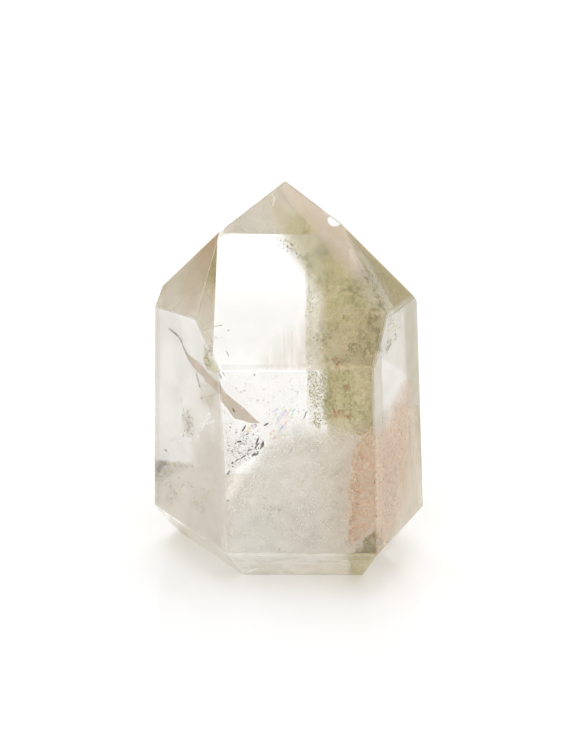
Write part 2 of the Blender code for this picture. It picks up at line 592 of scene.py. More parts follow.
# milky cloud: wispy white veils that fill the lower half and thin out upwards
milk = dict(
    tones=((0.40, (0.78, 0.76, 0.71)), (0.49, (0.92, 0.91, 0.88)), (0.60, (0.99, 0.99, 0.97))),
    grit=(2600.0, 1.0, 0.6),
    mottle=(420.0, 2.0, 0.6),
    drift=(140.0, 1.0, 0.5),
    thinning=(0.30, 0.68, 0.65, 1.0),
    warm=(0.86, 0.79, 0.67),
    warmSide=(-0.006, 0.020, 0.0, 0.6),     # from x to x, and how warm it is at each
    blush=(0.87, 0.78, 0.69),
    # grey for a tint below 0: a smoky tone, and painted shade on the left face
    smoky=(0.68, 0.66, 0.61),
    rough=0.75,
    gloss=0.2,
    # x and height of the cloud's top at the front face
    topLine=((-0.024, 0.014), (-0.0125, 0.017), (-0.009, 0.022), (-0.006, 0.0265), (-0.003, 0.031),
             (0.002, 0.0330), (0.010, 0.0345), (0.025, 0.0355)),
    frontY=-0.0205,
    fallPerDepth=0.28,          # the cloud's top drops towards the back
    ragged=(330.0, 0.0045),
    fade=0.0085,
    strength=0.46,
    # upright planes, one behind the other
    planes=(-0.0190, -0.0165, -0.0135, -0.0100, -0.0060, -0.0015, 0.0035, 0.0090, 0.0145),
    planeHeight=0.019,
    planeSize=(0.050, 0.038),
    planeTurn=1.8,              # degrees more for each plane, to either side by turns
    planeLift=4.0,
    planeWaves=dict(step=0.0008, crumple=0.0012, ripple=0.008),
    # loose wisps between them
    wisps=22,
    wispSize=(0.014, 0.026),
    wispShape=(0.5, 0.8),       # height as a share of width
    wispPlaces=((-0.016, 0.016), (-0.013, 0.014), (0.006, 0.026)),
    wispLift=(-35.0, 35.0),
    wispWaves=dict(step=0.0008, crumple=0.0010, ripple=0.006),
    # short slanting flecks close behind the front face, sizes in picture pixels
    flecks=dict(
        count=54, corners=10, length=(14.0, 46.0), width=(5.0, 12.0), turn=(-62.0, -18.0),
        depths=(0.0008, 0.0034), strength=(0.10, 0.24), tint=(-0.9, 0.1), step=1.5,
        outline=[(228, 470), (268, 440), (345, 436), (350, 552), (226, 552)],
    ),
    # veils close under single faces; a tint above 0 turns one rosy, below 0 smoky grey, which over the whole
    # left face is painted shade
    veils=(
        # painted shade: a grey veil over the whole left face, standing in for the darker, shaded table seen
        # through it
        ("left", 0.00048, 1.0, 0.60, dict(tint=-1.0, step=4.0, crumple=evenly), [
            (140, 285), (205, 300), (232, 372), (234, 575), (140, 520)]),
        ("left", 0.000465, 10.0, 0.16, dict(tint=0.2, step=2.0, crumple=evenly), [
            (196, 384), (212, 378), (232, 372), (232, 480), (190, 476), (192, 440), (199, 420)]),
        ("left", 0.00033, 5.0, 0.40, dict(tint=-1.0, step=1.5, crumple=evenly, layered=True), [
            (138, 457), (200, 461), (184, 472), (166, 482), (162, 506), (138, 506)]),
        ("left", 0.00036, 18.0, 0.40, dict(tint=0.5, step=3.0, crumple=evenly, layered=True), [
            (184, 380), (242, 370), (244, 585), (176, 560), (130, 525), (130, 452), (170, 462)]),
        # painted shade: a rosy strip along the left edge, standing in for the back edge seen there by
        # refraction
        ("left", 0.00045, 4.0, 0.24, dict(tint=1.0, step=2.0, crumple=evenly), [
            (140, 285), (161, 300), (162, 520), (140, 520)]),
        ("front", 0.0054, 3.0, 0.24, dict(tint=-1.0, step=3.0), [
            (219, 369), (309, 369), (309, 432), (262, 446), (240, 470), (222, 505)]),
        ("front", 0.0030, 34.0, 0.46, dict(tint=-0.7, step=3.0, layered=True), [
            (230, 490), (354, 476), (358, 600), (214, 600)]),
        ("right", 0.00046, 8.0, 0.56, dict(tint=1.0, step=2.0, crumple=evenly, layered=True), [
            (388, 400), (398, 382), (415, 372), (414, 440), (406, 470), (400, 508), (389, 560), (374, 580),
            (362, 560), (362, 430), (380, 410)]),
        ("right", 0.00052, 10.0, 0.66, dict(tint=-0.9, step=2.5, crumple=evenly), [
            (362, 330), (384, 290), (415, 280), (436, 300), (436, 410), (408, 412), (396, 418), (384, 440),
            (356, 450)]),
        ("right", 0.00054, 9.0, 0.42, dict(tint=0.0, step=2.5, crumple=evenly, layered=True), [
            (408, 292), (436, 292), (436, 530), (390, 590), (372, 570), (386, 538), (392, 520), (397, 500),
            (402, 470), (407, 440)]),
        ("footFront", 0.0004, 1.0, 0.74, dict(step=3.0), [(214, 546), (390, 546), (390, 592), (214, 592)]),
        ("front", 0.0004, 12.0, 0.24, dict(step=3.0), [(206, 530), (362, 538), (362, 600), (206, 600)]),
        ("tipFront", 0.0006, 24.0, 0.58, dict(tint=0.5, step=2.0, foot=tipFoot, streaks=0.9, layered=True), [
            (244, 398), (252, 352), (278, 330), (300, 312), (330, 304), (358, 330), (358, 398)]),
        ("tipFront", 0.0004, 12.0, 0.80, dict(tint=1.0, step=2.0, layered=True), [
            (280, 190), (290, 168), (348, 204), (376, 238), (404, 290), (384, 298), (368, 291), (355, 283),
            (344, 275), (335, 266), (325, 255), (315, 239), (303, 223), (290, 209)]),
        ("tipFront", 0.0004, 9.0, 0.24, dict(tint=0.7, step=2.5), [
            (196, 216), (288, 166), (300, 196), (290, 236), (196, 236)]),
        # the edge beside the window's upper left corner
        ("tipFront", 0.0003, 4.0, 0.55, dict(tint=1.0, step=1.5, layered=True), [
            (204, 218), (228, 210), (238, 224), (232, 236), (220, 238), (204, 236)]),
        ("tipFront", 0.0048, 34.0, 0.24, dict(tint=-0.6, step=4.0), [
            (190, 278), (316, 290), (316, 370), (190, 370)]),
        ("tipRight", 0.00045, 5.0, 0.42, dict(tint=-1.0, step=1.5, layered=True), [
            (353, 242), (364, 250), (377, 268), (394, 300), (388, 316), (376, 302), (365, 283),
            (355, 262)]),
    ),
)


def milkAndShadeVeil():
    material, tree, shader = newMaterial("milky veil and painted shade", milk["rough"], milk["gloss"])
    grit = addNoise(tree, *milk["grit"])
    mottle = addNoise(tree, *milk["mottle"])
    tone = addRamp(tree, addShares(tree, (grit, 0.5), (mottle, 0.5)), milk["tones"])
    parts = addNode(tree, "ShaderNodeSeparateXYZ")
    tree.links.new(objectPlace(tree), parts.inputs["Vector"])
    tone = addMix(tree, addRange(tree, parts.outputs["X"], *milk["warmSide"]), tone, milk["warm"])
    tint = sheetValue(tree, "tint")
    tone = addMix(tree, tint, tone, milk["blush"])
    tone = addMix(tree, addMath(tree, "MULTIPLY", tint, -1.0), tone, milk["smoky"])
    tree.links.new(tone, shader.inputs["Base Color"])
    addHaze(tree, addNoise(tree, *milk["drift"]), milk["thinning"])
    return material


def cloudTop(x, y):
    line = milk["topLine"]
    for (x1, z1), (x2, z2) in zip(line, line[1:]):
        if x <= x2:
            top = z1 + (z2 - z1) * (max(x, x1) - x1) / (x2 - x1)
            break
    else:
        top = line[-1][1]
    scale, height = milk["ragged"]
    ragged = noise.noise(Vector((x, y, 0.3)) * scale) * height
    return top - milk["fallPerDepth"] * (y - milk["frontY"]) + ragged


def cloudShare(point, u=0.0, w=0.0):
    return milk["strength"] * smoothShare((cloudTop(point.x, point.y) - point.z) / milk["fade"])


def addFlecks(shape):
    fleck = milk["flecks"]
    chance = random.Random(57)
    low, high = outlineBox(fleck["outline"])
    for count in range(fleck["count"]):
        px, py = chance.uniform(low[0], high[0]), chance.uniform(low[1], high[1])
        turn = math.radians(chance.uniform(*fleck["turn"]))
        half = chance.uniform(*fleck["length"]) / 2
        thick = chance.uniform(*fleck["width"]) / 2
        depth = chance.uniform(*fleck["depths"])
        strength = chance.uniform(*fleck["strength"])
        tint = chance.uniform(*fleck["tint"])
        if not inOutline(px, py, fleck["outline"]):
            continue
        ring = []
        for corner in range(fleck["corners"]):
            angle = math.tau * corner / fleck["corners"]
            along, aside = half * math.cos(angle), thick * math.sin(angle)
            ring.append((
                px + along * math.cos(turn) - aside * math.sin(turn),
                py + along * math.sin(turn) + aside * math.cos(turn),
            ))
        addVeil(shape, "front", depth, thick, strength, ring, tint, fleck["step"])


def addPlanes(shape):
    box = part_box("quartz_point")
    middle = (box[0].x + box[1].x) / 2
    for count, y in enumerate(milk["planes"]):
        turn = milk["planeTurn"] * count * (-1) ** count
        addSheet(
            shape, (middle, y, milk["planeHeight"]), turn, milk["planeLift"] - turn / 2, milk["planeSize"],
            cloudShare, seed=3.7 * count, **milk["planeWaves"],
        )


def addWisps(shape):
    chance = random.Random(41)
    for count in range(milk["wisps"]):
        wide = chance.uniform(*milk["wispSize"])
        tall = wide * chance.uniform(*milk["wispShape"])
        centre = [chance.uniform(*ends) for ends in milk["wispPlaces"]]
        turn, lift = chance.uniform(0.0, 360.0), chance.uniform(*milk["wispLift"])

        def wispShare(point, u, w, wide=wide, tall=tall):
            reach = math.hypot(2.0 * u / wide, 2.0 * w / tall)
            return cloudShare(point) * smoothShare((1.0 - reach) * 1.6)

        addSheet(shape, centre, turn, lift, (wide, tall), wispShare, seed=11.0 + count, **milk["wispWaves"])


def makeMilk():
    shape = newSheets()
    addFlecks(shape)
    addPlanes(shape)
    addWisps(shape)
    addVeils(shape, milk["veils"])
    trimToCrystal(shape)
    finishPiece(shape, "milky_cloud_and_painted_shade", milkAndShadeVeil())


makeMilk()


# chlorite: the green ghost of a smaller crystal, its tip face seen edge on through the front

# the olive patch low at the right
olivePatch = [
    (367, 536), (373, 530), (379, 527), (390, 540), (390, 585),
    (343, 585), (346, 562), (352, 553), (360, 549),
]
chlorite = dict(
    tones=((0.38, (0.42, 0.38, 0.15)), (0.49, (0.70, 0.65, 0.38)), (0.62, (0.84, 0.77, 0.54))),
    speck=(2600.0, 1.0, 0.5),
    blotch=(1100.0, 1.0, 0.6),
    cloudy=(260.0, 2.0, 0.6),
    thinning=(0.30, 0.65, 1.0, 0.8),
    brown=(0.50, 0.42, 0.22),   # a veil's tint turns it brown
    rough=0.8,
    gloss=0.2,
    # where the ghost's tip face meets the line of sight
    ghostEdge=[(272, 186), (284, 201), (298, 220), (313, 241), (325, 262), (336, 283), (350, 307),
               (366, 334), (380, 356)],
    ghostSpan=(2, 6),           # the two points of it that give the tip face its slope
    ghostReach=0.040,
    ghostHaze=0.35,
    ghostFade=0.003,
    ghostStep=0.0007,
    ghostWave=(0.00004, 0.005),
    # the same ghost lower down, close under the back faces: face, depth, lowest, highest, strength
    films=(
        ("backRight", 0.0003, 0.0155, 0.062, 0.85, dict(fade=0.006, seed=1.0, ragged=0.007)),
        ("backRight", 0.0006, 0.0190, 0.062, 0.65, dict(seed=4.0)),
        ("backNarrow", 0.0003, 0.020, 0.052, 0.30, dict(seed=7.0)),
    ),
    filmWidth=0.045,
    filmScale=230.0,            # of the ragged ends
    tipFade=0.004,              # how softly a film ends at the ghost's tip face
    filmWaves=dict(step=0.0006, crumple=0.0001, ripple=0.003),
    veils=(
        # the soft green band where the ghost's tip comes up under the front tip face
        ("tipFront", 0.0007, 15.0, 0.34, dict(foot=tipFoot, layered=True), [
            (256, 190), (268, 182), (290, 196), (312, 210), (334, 226), (345, 242), (356, 254), (368, 264),
            (384, 274), (410, 290), (410, 392), (306, 392), (312, 340), (312, 300), (302, 280), (290, 262),
            (278, 244), (268, 224)]),
        ("tipFront", 0.0006, 15.0, 0.50, dict(foot=tipFoot, layered=True), [
            (264, 210), (280, 202), (306, 210), (328, 228), (344, 242), (356, 254), (368, 264), (384, 274),
            (410, 290), (410, 396), (314, 396), (314, 300), (300, 276), (284, 254), (272, 232)]),
        ("tipFront", 0.0006, 12.0, 0.40, dict(foot=tipFoot, layered=True), [
            (276, 226), (292, 214), (314, 218), (332, 232), (346, 246), (360, 264), (378, 278), (410, 296),
            (410, 396), (318, 396), (320, 300), (308, 282), (294, 258), (282, 240)]),
        ("tipFront", 0.0005, 12.0, 0.26, dict(foot=tipFoot, step=1.5, crumple=0.00002), [
            (270, 190), (290, 203), (308, 214), (324, 232), (340, 250), (354, 266), (370, 284), (388, 306),
            (394, 330), (384, 380), (322, 380), (322, 300), (308, 268), (292, 246), (276, 222)]),
        # a thin wash over the bright strip beside the window
        ("tipFront", 0.0007, 5.0, 0.16, dict(foot=tipFoot), [
            (304, 262), (330, 262), (332, 390), (304, 390)]),
        ("tipFront", 0.00065, 14.0, 0.24, dict(foot=tipFoot), [
            (300, 300), (336, 292), (336, 392), (300, 392)]),
        # the film under the right tip face
        ("tipRight", 0.0006, 5.0, 0.92, dict(tint=0.7), [
            (340, 215), (376, 232), (408, 258), (440, 300), (424, 318), (396, 318), (382, 292), (368, 266),
            (354, 244)]),
        ("tipRight", 0.00065, 3.0, 0.50, dict(tint=0.7), [
            (340, 215), (376, 232), (408, 258), (440, 300), (424, 318), (388, 318), (372, 296), (360, 270),
            (346, 240)]),
        # the foot of the olive block behind the front face
        ("front", 0.0038, 11.0, 0.60, {}, [
            (326, 352), (396, 352), (396, 420), (381, 428), (370, 442), (362, 436), (354, 449), (346, 437),
            (340, 436), (336, 424), (329, 420)]),
        # olive patches low at the right, and beside the left edge
        ("front", 0.0020, 2.5, 0.95, dict(step=1.5), olivePatch),
        ("front", 0.0023, 5.0, 0.95, dict(step=1.5), olivePatch),
        ("left", 0.00035, 3.0, 0.55, dict(step=1.0, crumple=0.0001), [
            (202.5, 342), (206, 345), (212, 356), (221, 371), (216, 375), (206, 371), (202.5, 358)]),
        # and down to the foot at the right
        ("footFront", 0.00035, 9.0, 0.70, dict(step=1.5), [
            (338, 536), (396, 536), (396, 596), (350, 596), (346, 570)]),
        # brown smudges on the left
        ("left", 0.0003, 7.0, 0.14, dict(tint=0.8, step=1.5, crumple=evenly), [
            (180, 408), (192, 404), (197, 420), (194, 438), (184, 440), (179, 426)]),
        ("left", 0.0003, 8.0, 0.12, dict(tint=0.8, step=1.5, crumple=evenly), [
            (198, 388), (216, 386), (218, 408), (204, 412), (197, 402)]),
    ),
)


def chloriteFilm():
    material, tree, shader = newMaterial("chlorite film", chlorite["rough"], chlorite["gloss"])
    speck = addNoise(tree, *chlorite["speck"])
    blotch = addNoise(tree, *chlorite["blotch"])
    cloudy = addNoise(tree, *chlorite["cloudy"])
    mixed = addShares(tree, (speck, 0.35), (blotch, 0.35), (cloudy, 0.30))
    tone = addRamp(tree, mixed, chlorite["tones"])
    tone = addMix(tree, sheetValue(tree, "tint"), tone, chlorite["brown"])
    tree.links.new(tone, shader.inputs["Base Color"])
    addHaze(tree, cloudy, chlorite["thinning"])
    return material


def addGhostTip(shape):
    # a sheet that runs straight back from the ghost's edge, so that the picture sees it edge on
    path, reach = chlorite["ghostEdge"], chlorite["ghostReach"]
    crumple, ripple = chlorite["ghostWave"]
    entries = [sightInto(px, py, "tipFront")[0] for px, py in path]
    length = sum((b - a).length for a, b in zip(entries, entries[1:]))
    made = addGrid(shape, length, reach, chlorite["ghostStep"])
    haze = shape.verts.layers.float["haze"]
    for vert in made:
        px, py = alongPath(path, vert.co.x + 0.5)[:2]
        deep = reach * (vert.co.y + 0.5)
        spot = spotInside(px, py, "tipFront", deep)
        vert.co = spot + Vector((crumple * noise.noise(spot / ripple), 0.0, 0.0))
        vert[haze] = chlorite["ghostHaze"] * smoothShare(deep / chlorite["ghostFade"])


def ghostSide(point):
    # how far a place lies beyond the ghost's tip face, in metres
    first, last = (chlorite["ghostEdge"][place] for place in chlorite["ghostSpan"])
    start, bent = sightInto(*first, "tipFront")
    end = sightInto(*last, "tipFront")[0]
    outward = (end - start).cross(bent).normalized()
    if outward.z < 0.0:
        outward.negate()
    return outward.dot(point - start)


def addFilm(shape, face, depth, lowZ, highZ, strength, fade=0.004, seed=0.0, ragged=0.004):
    # a film that follows one wall at some depth, between two heights, and stops at the ghost's tip
    turn, lift = faceLooks[face]
    centre = underWall(face, depth, (lowZ + highZ) / 2)

    def share(point, u, w):
        wave = noise.noise(point * chlorite["filmScale"] + Vector((seed, 0.0, 0.0)))
        ends = min(point.z - lowZ, highZ - point.z) + ragged * wave
        beyond = ghostSide(point) / chlorite["tipFade"]
        return strength * smoothShare(ends / fade) * smoothShare(1.0 - beyond)

    size = (chlorite["filmWidth"], highZ - lowZ + 2 * ragged)
    addSheet(shape, centre, turn, lift, size, share, seed=seed, **chlorite["filmWaves"])


def makeChlorite():
    shape = newSheets()
    addGhostTip(shape)
    for *film, more in chlorite["films"]:
        addFilm(shape, *film, **more)
    addVeils(shape, chlorite["veils"])
    trimToCrystal(shape)
    finishPiece(shape, "chlorite_ghost", chloriteFilm())


makeChlorite()


# loose chlorite grains, named by where they lie
chloriteGrains = dict(
    tones=((0.30, (0.26, 0.23, 0.06)), (0.50, (0.42, 0.38, 0.12)), (0.70, (0.62, 0.57, 0.24))),
    patches=dict(
        tipSpeckle=("tipFront", 420, (-0.0016, -0.0006), (0.05, 0.16), 3.0, [
            (303, 262), (316, 258), (329, 268), (330, 366), (306, 368), (307, 300)]),
        frontSpeckle=("front", 1000, (0.0008, 0.0030), (0.06, 0.15), 4.0, [
            (306, 369), (333, 369), (334, 398), (330, 426), (318, 432), (309, 424), (312, 404),
            (306, 392)]),
        frontOlive=("front", 500, (0.0008, 0.0036), (0.06, 0.17), 5.0, [
            (329, 369), (353, 369), (353, 402), (375, 398), (376, 432), (355, 444), (340, 404),
            (331, 412)]),
        tipOlive=("tipFront", 420, (-0.008, -0.0008), (0.05, 0.15), 6.0, [
            (310, 245), (326, 238), (345, 262), (366, 300), (385, 312), (374, 366), (330, 366),
            (326, 280)]),
        tipGrit=("tipFront", 130, (0.00028, 0.0004), (0.07, 0.12), 10.0, [
            (286, 206), (298, 212), (326, 240), (346, 268), (366, 302), (384, 316), (376, 366), (328, 366),
            (322, 296), (306, 262), (296, 244)]),
        windowCorner=("tipFront", 40, (0.0003, 0.0005), (0.10, 0.17), 3.0, [
            (274, 236), (288, 239), (300, 246), (306, 256), (296, 256), (282, 251), (276, 244)]),
        windowSide=("tipFront", 110, (0.0003, 0.0006), (0.09, 0.14), 4.0, [
            (296, 250), (312, 258), (314, 300), (314, 366), (302, 366), (305, 300), (303, 270)]),
        tipBlobs=("tipFront", 50, (0.00026, 0.00036), (0.09, 0.16), 1.5, [
            (347, 344), (357, 341), (362, 345), (360, 351), (352, 354), (347, 349)]),
        tipBlobsNext=("tipFront", 34, (0.00026, 0.00036), (0.09, 0.16), 1.5, [
            (364, 343), (371, 340), (372, 347), (369, 353), (364, 350)]),
        tipBlobsHigh=("tipFront", 26, (0.00026, 0.00036), (0.08, 0.15), 3.0, [
            (341, 315), (349, 314), (349, 323), (342, 323)]),
        tipBlobsFaint=("tipFront", 34, (0.00026, 0.00036), (0.08, 0.15), 3.0, [
            (364, 315), (378, 312), (379, 320), (366, 324)]),
        tipBlobsRight=("tipFront", 50, (0.00026, 0.00036), (0.08, 0.15), 3.0, [
            (375, 332), (384, 322), (382, 338), (378, 350), (374, 346)]),
        tipBlobsLow=("tipFront", 60, (0.0003, 0.0005), (0.08, 0.16), 4.0, [
            (312, 334), (328, 330), (330, 352), (316, 352)]),
        rightStrip=("tipRight", 120, (0.00028, 0.00036), (0.12, 0.20), 2.0, [
            (359, 256), (366, 264), (374, 274), (380, 290), (388, 306), (381, 307), (374, 293), (366, 278),
            (361, 266)]),
        rightTip=("tipRight", 150, (0.0003, 0.0005), (0.08, 0.17), 3.0, [
            (350, 240), (368, 250), (392, 276), (404, 292), (392, 306), (376, 284), (360, 256)]),
        rightTop=("right", 150, (0.00026, 0.00036), (0.10, 0.16), 3.0, [
            (387, 314), (402, 308), (404, 330), (396, 344), (386, 338)]),
        rightTopLow=("right", 110, (0.00026, 0.00038), (0.10, 0.17), 2.5, [
            (386, 341), (392, 336), (393, 345), (388, 354), (384, 352)]),
        rightTopEdge=("right", 70, (0.00026, 0.00038), (0.09, 0.16), 2.0, [
            (377, 347), (382, 338), (383, 352), (378, 358)]),
        rightWall=("right", 160, (0.00025, 0.0005), (0.06, 0.11), 6.0, [
            (374, 350), (388, 312), (412, 300), (418, 500), (395, 540), (378, 480)]),
        leftStreak=("left", 80, (0.00026, 0.00036), (0.08, 0.16), 1.5, [
            (203, 344), (206, 347), (210, 360), (213, 369), (207, 370), (203, 362)]),
        leftSmudge=("left", 46, (0.00028, 0.00033), (0.12, 0.19), 4.0, [
            (180, 406), (192, 402), (197, 424), (192, 442), (181, 438)]),
        underBlade=("left", 26, (0.00028, 0.00033), (0.11, 0.17), 3.0, [
            (198, 384), (206, 384), (214, 394), (214, 408), (202, 410)]),
        leftLowDark=("left", 90, (0.00028, 0.00033), (0.12, 0.19), 6.0, [
            (148, 457), (176, 458), (200, 464), (188, 472), (170, 478), (160, 490), (148, 492)]),
        leftLowBrown=("left", 44, (0.00028, 0.00033), (0.12, 0.18), 6.0, [
            (160, 482), (182, 484), (186, 500), (170, 510), (160, 500)]),
        leftLowOlive=("left", 60, (0.00028, 0.00033), (0.11, 0.17), 7.0, [
            (188, 478), (212, 486), (216, 508), (200, 520), (188, 508)]),
        cloudOlive=("front", 170, (0.0006, 0.0030), (0.06, 0.12), 8.0, [
            (310, 424), (352, 424), (356, 446), (348, 500), (338, 548), (326, 520), (330, 460)]),
        lowPatch=("front", 380, (0.0008, 0.0019), (0.08, 0.18), 3.0, [
            (367, 534), (379, 527), (384, 540), (384, 576), (345, 576), (345, 562), (352, 552)]),
    ),
)

makeGrainPiece(
    "chlorite_grains", grainMaterial("chlorite grains", chloriteGrains["tones"]),
    chloriteGrains["patches"].values(), seed=101,
)


# iron veil: a salmon film of hematite grains under the right prism face, cut through by the front face
iron = dict(
    film=dict(
        tones=((0.40, (0.64, 0.36, 0.17)), (0.48, (0.83, 0.66, 0.46)), (0.57, (0.95, 0.86, 0.68))),
        grain=(2600.0, 1.0, 0.6), patches=(350.0, 1.0, 0.6), thinning=(0.30, 0.60, 1.0, 0.75),
        rough=0.8, gloss=0.2,
    ),
    depthHigh=0.0033,           # under the right face at the veil's top
    depthLow=0.0050,            # and at its foot
    top=0.0305,
    foot=0.0085,
    width=0.052,
    spare=0.004,                # more height than that, for the ragged ends
    waves=dict(step=0.0005, crumple=0.0002, ripple=0.003, seed=2.0),
    strength=0.95,
    endFade=0.0028,
    endWaves=((0.0030, 160.0), (0.0012, 600.0)),
    rear=0.003,                 # y where it has faded out towards the back
    rearFade=0.006,
    rearWave=(0.004, 250.0),
    frontFade=0.0028,
    frontWave=(0.0030, 800.0),
    veils=(
        ("tipFront", 0.00055, 14.0, 0.45, dict(foot=tipFoot, layered=True), [
            (342, 314), (366, 300), (396, 306), (398, 394), (334, 394), (330, 350)]),
        ("front", 0.0005, 3.0, 0.36, dict(step=1.5), [
            (363, 428), (376, 427), (376, 524), (364, 538), (347, 547), (346, 502), (352, 452)]),
        ("front", 0.0030, 9.0, 0.24, {}, [(350, 362), (384, 362), (384, 404), (352, 404)]),
        ("right", 0.0004, 8.0, 0.46, dict(step=2.0, crumple=evenly), [
            (404, 374), (415, 380), (414, 436), (405, 470), (399, 520), (389, 552), (380, 575), (368, 580),
            (366, 470), (372, 436), (384, 422), (392, 396)]),
    ),
)


def wobble(point, height, scale, shift=0.0):
    return height * noise.noise(point * scale + Vector((0.0, 0.0, shift)))


def makeIronVeil():
    shape = newSheets()
    frontNormal, frontDistance = wallNamed("front")
    turn, lift = faceLooks["right"]
    high, low = iron["top"], iron["foot"]
    lean = math.degrees(math.atan2(iron["depthLow"] - iron["depthHigh"], high - low))
    centre = underWall("right", (iron["depthHigh"] + iron["depthLow"]) / 2, (high + low) / 2)

    def share(point, u, w):
        ragged = sum(wobble(point, *wave) for wave in iron["endWaves"])
        ends = min(point.z - low, high - point.z) + ragged
        rear = iron["rear"] - point.y + wobble(point, *iron["rearWave"], shift=9.0)
        ahead = frontDistance - frontNormal.dot(point) + wobble(point, *iron["frontWave"])
        haze = iron["strength"] * smoothShare(ends / iron["endFade"])
        haze *= smoothShare(rear / iron["rearFade"])
        return haze * smoothShare(ahead / iron["frontFade"])

    size = (iron["width"], high - low + iron["spare"])
    addSheet(shape, centre, turn, lift - lean, size, share, **iron["waves"])
    addVeils(shape, iron["veils"])
    trimToCrystal(shape)
    finishPiece(shape, "iron_veil", filmMaterial("iron veil film", **iron["film"]))


makeIronVeil()


# red and salmon hematite grains, in the veil and along its borders
ironGrains = dict(
    tones=((0.30, (0.36, 0.12, 0.06)), (0.48, (0.60, 0.29, 0.15)), (0.68, (0.80, 0.50, 0.30))),
    patches=dict(
        leftBorder=("front", 200, (0.0003, 0.0010), (0.08, 0.15), 4.0, [
            (348, 474), (364, 484), (362, 530), (354, 550), (343, 550), (345, 510)]),
        topBorder=("front", 70, (0.0004, 0.0018), (0.07, 0.13), 4.0, [
            (358, 426), (378, 424), (370, 444), (362, 460), (356, 480), (347, 478), (349, 450)]),
        film=("front", 460, (0.0003, 0.0005), (0.08, 0.13), 3.0, [
            (362, 430), (378, 427), (378, 526), (364, 538), (347, 547), (347, 500), (352, 452)]),
        redSpots=("front", 60, (0.003, 0.004), (0.10, 0.24), 2.0, [
            (332, 410), (337, 408), (346, 413), (352, 413), (353, 421), (349, 422), (344, 418),
            (334, 417)]),
        redSpotHigh=("front", 22, (0.003, 0.004), (0.09, 0.22), 1.5, [
            (343, 385), (348, 384), (350, 390), (344, 391)]),
        redTip=("tipFront", 34, (0.0003, 0.0005), (0.08, 0.18), 2.0, [
            (331, 357), (338, 356), (342, 362), (341, 368), (335, 368)]),
        rightFilm=("right", 260, (0.00025, 0.00032), (0.08, 0.12), 5.0, [
            (388, 400), (394, 392), (411, 380), (412, 440), (404, 470), (399, 500), (394, 520), (386, 540),
            (378, 545), (378, 430)]),
        rightSpots=("right", 26, (0.0003, 0.0004), (0.08, 0.16), 1.5, [
            (398, 462), (405, 464), (402, 478), (396, 476)]),
        lowRed=("front", 26, (0.0008, 0.0016), (0.08, 0.18), 1.5, [
            (371, 545), (378, 546), (378, 558), (373, 560)]),
        lowLeft=("footFront", 22, (0.0004, 0.0014), (0.06, 0.14), 1.5, [
            (229, 553), (238, 553), (240, 561), (231, 561)]),
    ),
)

makeGrainPiece(
    "iron_grains", grainMaterial("iron grains", ironGrains["tones"]),
    ironGrains["patches"].values(), seed=301,
)


# the healed crack that comes in over the left edge; the tan of its mirror-like faces is painted reflection of
# the warm surroundings
crack = dict(
    film=dict(
        tones=((0.35, (0.60, 0.50, 0.38)), (0.60, (0.70, 0.60, 0.50))),
        grain=(500.0, 3.0), patches=(900.0, 2.0), thinning=(0.3, 0.7, 1.0, 0.85), rough=0.45, gloss=0.4,
    ),
    veils=(
        ("left", 0.00027, 0.8, 0.95, dict(step=0.7, crumple=0.00002), [
            (182.3, 344), (186, 350), (190, 355), (196, 359.5), (202, 364.5), (206, 370), (211, 376),
            (216, 380), (221.5, 384), (221.5, 397), (214, 390), (211, 386), (205, 383), (203, 377),
            (198, 373), (194, 369), (190, 362), (186, 354), (183, 347)]),
        ("front", (0.0005, 0.0048), 0.8, 0.95, dict(step=0.7, crumple=0.0001), [
            (219.5, 380), (222, 386), (226, 392.5), (230, 396), (237, 401.5), (245, 408), (251, 414),
            (256, 419), (262, 423.5), (255, 424), (248, 423), (243, 421), (237, 419.5), (234, 419),
            (231, 415), (227, 409), (222, 403), (219.5, 399)]),
    ),
)

makeSheetPiece("crack_face", filmMaterial("crack face painted reflection", **crack["film"]), crack["veils"])
